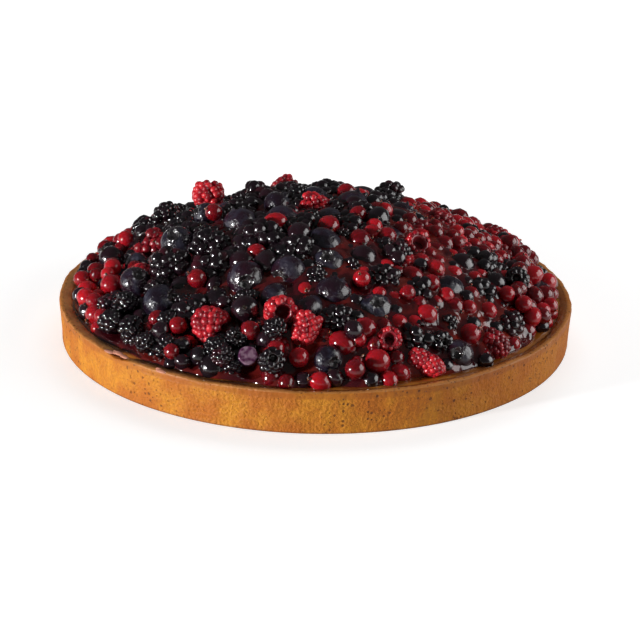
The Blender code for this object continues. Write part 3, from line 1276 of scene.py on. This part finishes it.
@dataclass
class HeapedFruit:
    """The fruit between the single berries, settled from the deepest gap to the shallowest."""

    mound: Mound
    floor: float
    depth: float = 17 * MM
    edge: float = 20 * MM
    edge_slack: float = 5.0 * MM
    bow: float = 2.8 * MM
    overhang: float = 2.4 * MM
    seed: int = 8
    draws: int = 150
    least_lift: float = 0.35
    right_spared: float = 0.8
    variants: int = 6
    berries: list[Berry] = field(default_factory=list)
    singles: int = field(init=False)
    known: Array = field(init=False)
    sizes: Array = field(init=False)
    chance: np.random.Generator = field(init=False)

    def liking(self, kind: Fruit, x: Array, y: Array) -> Array:
        """How far a kind of fruit likes each place on the heap.

        Args:
            kind: the kind of fruit.
            x: distances to the right.
            y: distances to the back.

        Returns:
            Values from 0 for never to 1 for always.
        """
        right = rightward(x)
        front = step_up(-y, 78 * MM, 9 * MM)
        left_edge = step_up(-x, 106 * MM, 4 * MM)
        lumps = 0.5 + 0.5 * np.sin(x / (11 * MM) + 1.3 * np.sin(y / (15 * MM)))
        return {
            Fruit.BLUEBERRY: 1.0 - 0.85 * right,
            Fruit.BLACKCURRANT: 0.7 + 0.3 * right,
            Fruit.RASPBERRY: 0.25 + 0.35 * front + 0.30 * right,
            Fruit.BRAMBLE: 1.0 - 0.70 * right * (1 - 0.6 * lumps),
            Fruit.REDCURRANT: np.minimum(0.01 + 0.7 * (right + left_edge) + 0.25 * front * lumps, 1),
        }[kind]

    def settle(self, singles: list[Berry]) -> None:
        """Drops the larger berries, then the smaller, until the gaps take no more.

        Args:
            singles: the berries that are already in place.
        """
        self.chance = np.random.default_rng(self.seed)
        self.known = np.array([tuple(berry.place) for berry in singles])
        self.sizes = np.array([berry.radius for berry in singles])
        self.singles = len(singles)
        for layer in LAYERS:
            misses = 0
            while misses < layer.patience:
                berry = self.drop(layer)
                if berry is None:
                    misses += 1
                    continue
                misses = 0
                self.berries.append(berry)
                self.known = np.vstack([self.known, tuple(berry.place)])
                self.sizes = np.append(self.sizes, berry.width / 2)
        log.info("heap: %d berries settled", len(self.berries))

    def drop(self, layer: Layer) -> Berry | None:
        """Drops one berry of a sort that the dice pick.

        Args:
            layer: the layer that the berry belongs to.

        Returns:
            The settled berry, or None where there is no gap for it.
        """
        shares = np.array([sort.share for sort in layer.sorts])
        sort = layer.sorts[int(self.chance.choice(len(shares), p=shares / shares.sum()))]
        width = self.chance.uniform(sort.smallest, sort.largest) * MM
        proud = self.chance.uniform(-0.5, 1.0) * sort.proud * MM
        place = self.gap(layer, sort.kind, width / 2, proud)
        if place is None:
            return None
        axis = Vector(self.chance.normal(0, 1, 3)).normalized()
        return Berry(sort.kind, place, width, width * sort.slender, axis)

    def gap(self, layer: Layer, kind: Fruit, radius: float, proud: float) -> Vector | None:
        """Finds the deepest gap that a berry of one size can drop into.

        Args:
            layer: the layer that the berry belongs to.
            kind: the kind of fruit.
            radius: the berry's radius.
            proud: how far it may stand out of the mound.

        Returns:
            The berry's middle, or None where there is no gap.
        """
        outermost = self.mound.radius + self.overhang - radius
        reach = outermost * np.sqrt(self.chance.uniform(0, 1, self.draws))
        bearing = self.chance.uniform(0, 2 * math.pi, self.draws)
        x, y = reach * np.cos(bearing), reach * np.sin(bearing)
        wanted = self.liking(kind, x, y) > self.chance.uniform(0, 1, self.draws)
        x, y, reach = x[wanted], y[wanted], reach[wanted]
        if not len(x):
            return None
        near = (radius + self.sizes) * layer.squeeze
        apart = np.hypot(x[:, None] - self.known[:, 0], y[:, None] - self.known[:, 1])
        lift = self.known[:, 2] + np.sqrt(np.maximum(near**2 - apart**2, 0))
        lift = np.where(apart < near, lift, -1).max(axis=1)
        top = self.mound.top(x, y)
        z = np.maximum(lift, np.maximum(top - self.depth, self.floor) + self.least_lift * radius)
        inside = proud - layer.sunk * (1 - self.right_spared * rightward(x))
        slack = np.where(reach > self.mound.radius - self.edge, self.edge_slack, inside)
        beside = (apart - self.sizes - radius)[:, : self.singles].min(axis=1)
        bow = (np.maximum(slack, 0) + self.bow) * np.clip(1 - beside / layer.berth, 0, 1)
        room = top + slack - (z + radius) - bow
        best = int(room.argmax())
        return Vector((x[best], y[best], z[best])) if room[best] >= 0 else None

    def build(self, kind: Fruit, scatter: ScatterTree, finish: Material) -> Object:
        """Joins the settled berries of one kind into a piece.

        Args:
            kind: the kind of fruit.
            scatter: the tree that sets the copies.
            finish: the fruit's material.

        Returns:
            The piece.
        """
        chance = np.random.default_rng(self.seed + list(Fruit).index(kind))
        mine = [berry for berry in self.berries if berry.kind is kind]
        typical = float(np.mean([berry.width for berry in mine]))
        slender = mine[0].length / mine[0].width
        stocked = []
        for number in range(self.variants):
            length = typical * slender * (0.90 + 0.04 * number)
            order = Order(f"{kind.value}_stock_{number}", typical, length, 100 + number, finish, scatter)
            stocked.append(HEAPED_MODELS[kind].build(order))
        turns = [berry.matrix(chance.uniform(0, 2 * math.pi)).to_euler() for berry in mine]
        sizes = np.array([[berry.width / typical] * 3 for berry in mine])
        attributes = {
            "turn": np.array(turns, dtype=float),
            "size": sizes * chance.uniform(0.92, 1.08, (len(mine), 3)),
            "variant": chance.integers(0, self.variants, len(mine)),
            "tint": chance.uniform(0, 1, len(mine)),
        }
        pieces = stock(kind.value + "_stock", stocked)
        points = np.array([tuple(berry.place) for berry in mine])
        mesh = scatter.grow(f"{kind.value}_heaped", points, attributes, pieces, finish)
        clear_stock(pieces)
        return show(f"{kind.value}_heaped", mesh)


@dataclass
class SingleFruit:
    """The berries that stand out of the heap, each on its own node."""

    berries: list[Berry]

    def build(self, scatter: ScatterTree, finishes: dict[Fruit, Material]) -> list[Object]:
        """Builds every single berry.

        Args:
            scatter: the tree that sets beads.
            finishes: the material of each kind.

        Returns:
            One piece for each berry.
        """
        made = []
        chance = np.random.default_rng(41)
        for number, berry in enumerate(self.berries):
            name = berry.node + "_dressed"
            finish = finishes[berry.kind]
            order = Order(name, berry.width, berry.length, 500 + number, finish, scatter)
            mesh = MODELS[berry.kind].build(order)
            mesh.transform(berry.matrix(chance.uniform(0, 2 * math.pi)))
            tint = mesh.attributes.new("tint", "FLOAT", "POINT")
            tint.data.foreach_set("value", np.full(len(mesh.vertices), chance.uniform(0.1, 1.0)))
            made.append(show(name, mesh))
        return made


@dataclass
class Jelly:
    """The juice and glaze that hold the fruit, drawn up a little against every berry."""

    mound: Mound
    floor: float
    rows: int = 105
    columns: int = 540
    deepest: float = 12.5 * MM
    shallowest: float = 7.2 * MM
    cling: float = 2.4 * MM
    cling_reach: float = 1.8 * MM
    spread: float = 1.6 * MM
    stray: float = 1.4 * MM
    bare_bearing: float = math.radians(303)
    bareness: float = 2.2
    relief: float = 0.5 * MM
    neighbours: int = 5
    least: float = 0.6 * MM

    def build(self, berries: list[Berry], finish: Material) -> Object:
        """Builds the jelly.

        Args:
            berries: every berry that it clings to.
            finish: its material.

        Returns:
            The piece.
        """
        edge = waves(8, 10, 4, 22)
        relief = waves(9, 30, 2, 46, 0.4)
        outermost = self.mound.radius + self.spread
        reach = np.linspace(outermost, 0.5 * MM, self.rows)
        rows = [(0, self.floor - 2 * MM), (outermost, self.floor - 2 * MM)]
        rows += [(radius, self.floor) for radius in reach] + [(0, self.floor)]
        tree = KDTree(len(berries))
        for number, berry in enumerate(berries):
            tree.insert(berry.place, number)
        tree.balance()

        def surface(x: float, y: float, z: float) -> float:
            """Height of the jelly near the berries round one place."""
            lift = 0.0
            for place, number, _ in tree.find_n(Vector((x, y, z)), self.neighbours):
                gap = math.hypot(place.x - x, place.y - y, place.z - z) - berries[number].radius
                lift = max(lift, math.exp(-max(gap, 0) / self.cling_reach))
            return z + self.cling * lift

        def filled(radius: Array, height: Array, bearing: Array) -> tuple[Array, Array]:
            """Shapes the mound of jelly."""
            bare = step_up(np.cos(bearing - self.bare_bearing), 0.80, 0.07)
            strays = 1 + edge(bearing, 0 * radius) + self.bareness * bare
            radius = radius - self.stray * (radius / outermost) ** 6 * np.maximum(strays, 0)
            x, y = radius * np.cos(bearing), radius * np.sin(bearing)
            depth = self.deepest + (self.shallowest - self.deepest) * step_up(x, 20 * MM, 22 * MM)
            level = self.mound.top(x, y) - depth + self.relief * relief(bearing, radius)
            level = np.maximum(level, self.floor + self.least)
            flat = level.ravel()
            for spot, (here_x, here_y) in enumerate(zip(x.ravel(), y.ravel())):
                flat[spot] = surface(here_x, here_y, flat[spot])
            level = flat.reshape(level.shape)
            level[0] = height[0]
            level[1] = self.floor - 0.2 * MM
            return radius, level

        points, faces = turned(np.array(rows), self.columns, filled)
        mesh = make_mesh("jelly", points, faces, {"clear": self.clearness(points)})
        return show("jelly", mesh, finish)

    def clearness(self, points: Array) -> Array:
        """How clear the jelly is at each point: most at the right and at the edge."""
        right = points[:, 0] / self.mound.radius
        out = np.hypot(points[:, 0], points[:, 1]) / self.mound.radius
        return np.clip(0.35 + 0.5 * right + 0.4 * out**3, 0, 1)


@dataclass
class GlazeDrips:
    """Pinkish glaze that ran onto the rim between two bearings."""

    reach: float
    height: float
    first: float = math.radians(221)
    last: float = math.radians(239)
    drops: int = 9
    seed: int = 12

    def build(self, scatter: ScatterTree, finish: Material) -> Object:
        """Builds the drops, flat domes drawn out along the rim.

        Args:
            scatter: the tree that sets the copies.
            finish: their material.

        Returns:
            The piece.
        """
        chance = np.random.default_rng(self.seed)
        rows = np.radians(np.linspace(-90, 90, 8))
        points, faces = turned(np.stack([np.cos(rows), np.sin(rows)], axis=1), 16)
        drop = stock("drop", [make_mesh("drop", points, faces)])
        bearing = np.sort(chance.uniform(self.first, self.last, self.drops))
        reach = self.reach + chance.uniform(-1.6, 0.8, self.drops) * MM
        height = np.full(self.drops, self.height) + chance.uniform(-0.3, 0.1, self.drops) * MM
        long = chance.uniform(1.3, 3.8, self.drops) * MM
        thick = chance.uniform(0.45, 0.75, self.drops) * MM
        askew = chance.normal(0, 0.2, self.drops)
        attributes = {
            "turn": np.stack([0 * bearing, 0 * bearing, bearing + askew], axis=1),
            "size": np.stack([0.45 * long, long, thick], axis=1),
            "variant": np.zeros(self.drops, dtype=int),
        }
        mesh = scatter.grow("glaze_drips", around(reach, bearing, height), attributes, drop, finish)
        clear_stock(drop)
        return show("glaze_drips", mesh)


@dataclass
class CutBerry:
    """A blueberry that was cut open and shows its pale lilac flesh."""

    bearing: float = math.radians(255)
    reach: float = 117 * MM
    height: float = 29.5 * MM
    width: float = 9.5 * MM
    columns: int = 28

    def berry(self) -> Berry:
        """Its place, size and the way that its cut face turns."""
        out = Vector((math.cos(self.bearing), math.sin(self.bearing), 0))
        place = out * self.reach + Vector((0, 0, self.height))
        facing = (out + Vector((0.45, 0, 0.75))).normalized()
        return Berry(Fruit.BLUEBERRY, place, self.width, self.width, facing)

    def build(self, finish: Material) -> Object:
        """Builds the half berry.

        Args:
            finish: its material.

        Returns:
            The piece.
        """
        rows = np.radians(np.linspace(-90, 20, 12))
        skin = np.stack([np.cos(rows), 0.9 * np.sin(rows)], axis=1)
        face = [(0.86, 0.34), (0.60, 0.27), (0.32, 0.32), (0, 0.30)]
        points, faces = turned(self.width / 2 * np.vstack([skin, face]), self.columns)
        first_cut = len(points) - 1 - len(face) * self.columns
        cut_face = np.where(np.arange(len(points)) >= first_cut, Part.HEART.value, Part.FLESH.value)
        mesh = make_mesh("cut_berry", dented(points, 0.04, 3), faces, {"part": cut_face})
        mesh.transform(self.berry().matrix(0))
        return show("cut_berry", mesh, finish)


@dataclass
class Studio:
    """The white floor, the lights, the surroundings and the camera."""

    target: Vector = field(default_factory=lambda: Vector((2.6 * MM, 0, 2.8 * MM)))
    distance: float = 0.843
    elevation: float = math.radians(21.8)
    lens: float = 88.7
    roll: float = math.radians(1.2)
    floor_reach: float = 12.0
    floor_gap: float = 0.05 * MM
    aim_height: float = 30 * MM

    def floor(self) -> Object:
        """Lays the floor just under the tart."""
        sides = np.array([(-1, -1, 0), (1, -1, 0), (1, 1, 0), (-1, 1, 0)])
        corners = sides * self.floor_reach - np.array([0, 0, self.floor_gap])
        return show("floor", make_mesh("floor", corners, [(0, 1, 2, 3)]), FloorFinish().build())

    def lamp(self, name: str, place: Triple, size: tuple[float, float], power: float) -> Object:
        """Sets an area light that faces the tart.

        Args:
            name: the light's name.
            place: where it stands.
            size: its width and height.
            power: its power in watts.

        Returns:
            The light's object.
        """
        light = bpy.data.lights.new(name, "AREA")
        light.shape = "RECTANGLE"
        light.size, light.size_y = size
        light.energy = power
        holder = bpy.data.objects.new(name, light)
        holder.location = place
        towards = Vector((0, 0, self.aim_height)) - Vector(place)
        holder.rotation_euler = towards.to_track_quat("-Z", "Y").to_euler()
        bpy.context.scene.collection.objects.link(holder)
        return holder

    def light(self) -> None:
        """Sets the key low on the left, a wide window on the right and a back light that isn't reflected."""
        self.lamp("key", (-1.50, -0.94, 0.25), (0.15, 0.15), 36.5)
        self.lamp("window", (1.22, -0.10, 0.46), (1.2, 1.0), 10.7)
        self.lamp("back", (0.1, 1.0, 1.2), (1.2, 0.6), 9).visible_glossy = False

    def surroundings(self, seen: float = 1.0, felt: float = 0.06) -> None:
        """Makes the room white to look at but dim in reflections.

        Args:
            seen: brightness behind the tart.
            felt: brightness that lights the tart.
        """
        world = bpy.data.worlds.new("room")
        world.use_nodes = True
        graph = Graph(world.node_tree)
        sky = world.node_tree.nodes["Background"]
        path = graph.add("ShaderNodeLightPath")
        level = graph.ramp(path.outputs["Is Camera Ray"], 0.0, 1.0, felt, seen)
        graph.feed(sky.inputs["Strength"], level)
        graph.feed(sky.inputs["Color"], (1.0, 1.0, 1.0))
        bpy.context.scene.world = world

    def camera(self) -> None:
        """Sets the camera in front of the tart, looking down at it."""
        data = bpy.data.cameras.new("camera")
        data.lens = self.lens
        data.sensor_width = 36
        data.clip_start, data.clip_end = 0.05, 60
        holder = bpy.data.objects.new("camera", data)
        away = Vector((0, -math.cos(self.elevation), math.sin(self.elevation))) * self.distance
        turn = (-away).to_track_quat("-Z", "Y").to_matrix().to_4x4()
        roll = Matrix.Rotation(self.roll, 4, "Z")
        holder.matrix_world = Matrix.Translation(self.target + away) @ turn @ roll
        bpy.context.scene.collection.objects.link(holder)
        bpy.context.scene.camera = holder
        bpy.context.scene.view_settings.view_transform = "Standard"


def fruit_finishes(effects: Effects) -> dict[Fruit, Material]:
    """Builds the fruits' materials.

    Args:
        effects: the shared effects.

    Returns:
        The material of each kind of fruit.
    """
    blueberry = SkinFinish(
        "blueberry",
        skin=(0.006, 0.004, 0.010),
        ripe=(0.020, 0.003, 0.009),
        bloom=(0.024, 0.027, 0.052),
        crown=(0.020, 0.016, 0.018),
        bloom_share=0.55,
    )
    blackcurrant = SkinFinish(
        "blackcurrant",
        skin=(0.005, 0.003, 0.005),
        ripe=(0.018, 0.003, 0.007),
        bloom=(0.026, 0.023, 0.034),
        crown=(0.028, 0.018, 0.012),
        bloom_share=0.2,
        roughness=0.14,
        wrinkle=0.6 * MM,
    )
    raspberry = BeadedFinish(
        "raspberry",
        deep=(0.16, 0.002, 0.008),
        middle=(0.42, 0.007, 0.018),
        bright=(0.66, 0.022, 0.034),
        heart=(0.26, 0.015, 0.025),
        glow=0.35,
        turning=0.55,
        roughness=0.32,
        coat=0.45,
    )
    bramble = BeadedFinish(
        "bramble",
        deep=(0.004, 0.002, 0.004),
        middle=(0.010, 0.003, 0.006),
        bright=(0.045, 0.004, 0.010),
        heart=(0.014, 0.005, 0.006),
        glow=0.0,
        turning=0.74,
    )
    return {
        Fruit.BLUEBERRY: blueberry.build(effects),
        Fruit.BLACKCURRANT: blackcurrant.build(effects),
        Fruit.RASPBERRY: raspberry.build(),
        Fruit.BRAMBLE: bramble.build(),
        Fruit.REDCURRANT: RedcurrantFinish().build(),
    }


def main() -> None:
    """Builds and hands over every piece of the tart, then the studio round it."""
    logging.basicConfig(level=logging.INFO, format="%(name)s: %(message)s")
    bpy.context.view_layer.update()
    effects, scatter = Effects(), ScatterTree()
    case_low, case_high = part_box("pastry_case")
    _, custard_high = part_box("custard_filling")
    radius, rim = (case_high.x - case_low.x) / 2, case_high.z
    case = PastryCase(radius, rim - RIM_ALLOWANCE)
    pastry = PastryFinish().build(effects, case.height, radius - case.wall)
    hand_over(case.build(pastry), "pastry", "pastry_case")
    custard = Custard(radius - case.wall + WALL_OVERLAP, case.floor + FLOOR_GAP, custard_high.z)
    hand_over(custard.build(CustardFinish().build(effects)), "custard", "custard_filling")

    finishes = fruit_finishes(effects)
    kinds = {kind.value for kind in Fruit}
    names = sorted(name for name in frame["nodes"] if name.rsplit("_", 1)[0] in kinds)
    singles = [berry_from_node(name) for name in names]
    for piece, berry in zip(SingleFruit(singles).build(scatter, finishes), singles):
        hand_over(piece, berry.kind.value, berry.node)

    mound = Mound(HEAP_RADIUS, rim + HEAP_LIFT)
    heap = HeapedFruit(mound, custard_high.z)
    cut_berry = CutBerry()
    heap.settle([*singles, cut_berry.berry()])
    for kind in Fruit:
        hand_over(heap.build(kind, scatter, finishes[kind]), kind.value, "berry_heap")
    drips = GlazeDrips(radius - case.crest, case.height)
    hand_over(drips.build(scatter, GlazeFinish().build()), "heap")
    hand_over(cut_berry.build(CutFinish().build()), "blueberry")
    jelly = Jelly(mound, custard_high.z).build(singles + heap.berries, JellyFinish().build(effects))
    hand_over(jelly, "heap", "berry_heap")

    studio = Studio()
    studio.floor()
    studio.light()
    studio.surroundings()
    studio.camera()


if __name__ == "__main__":
    main()
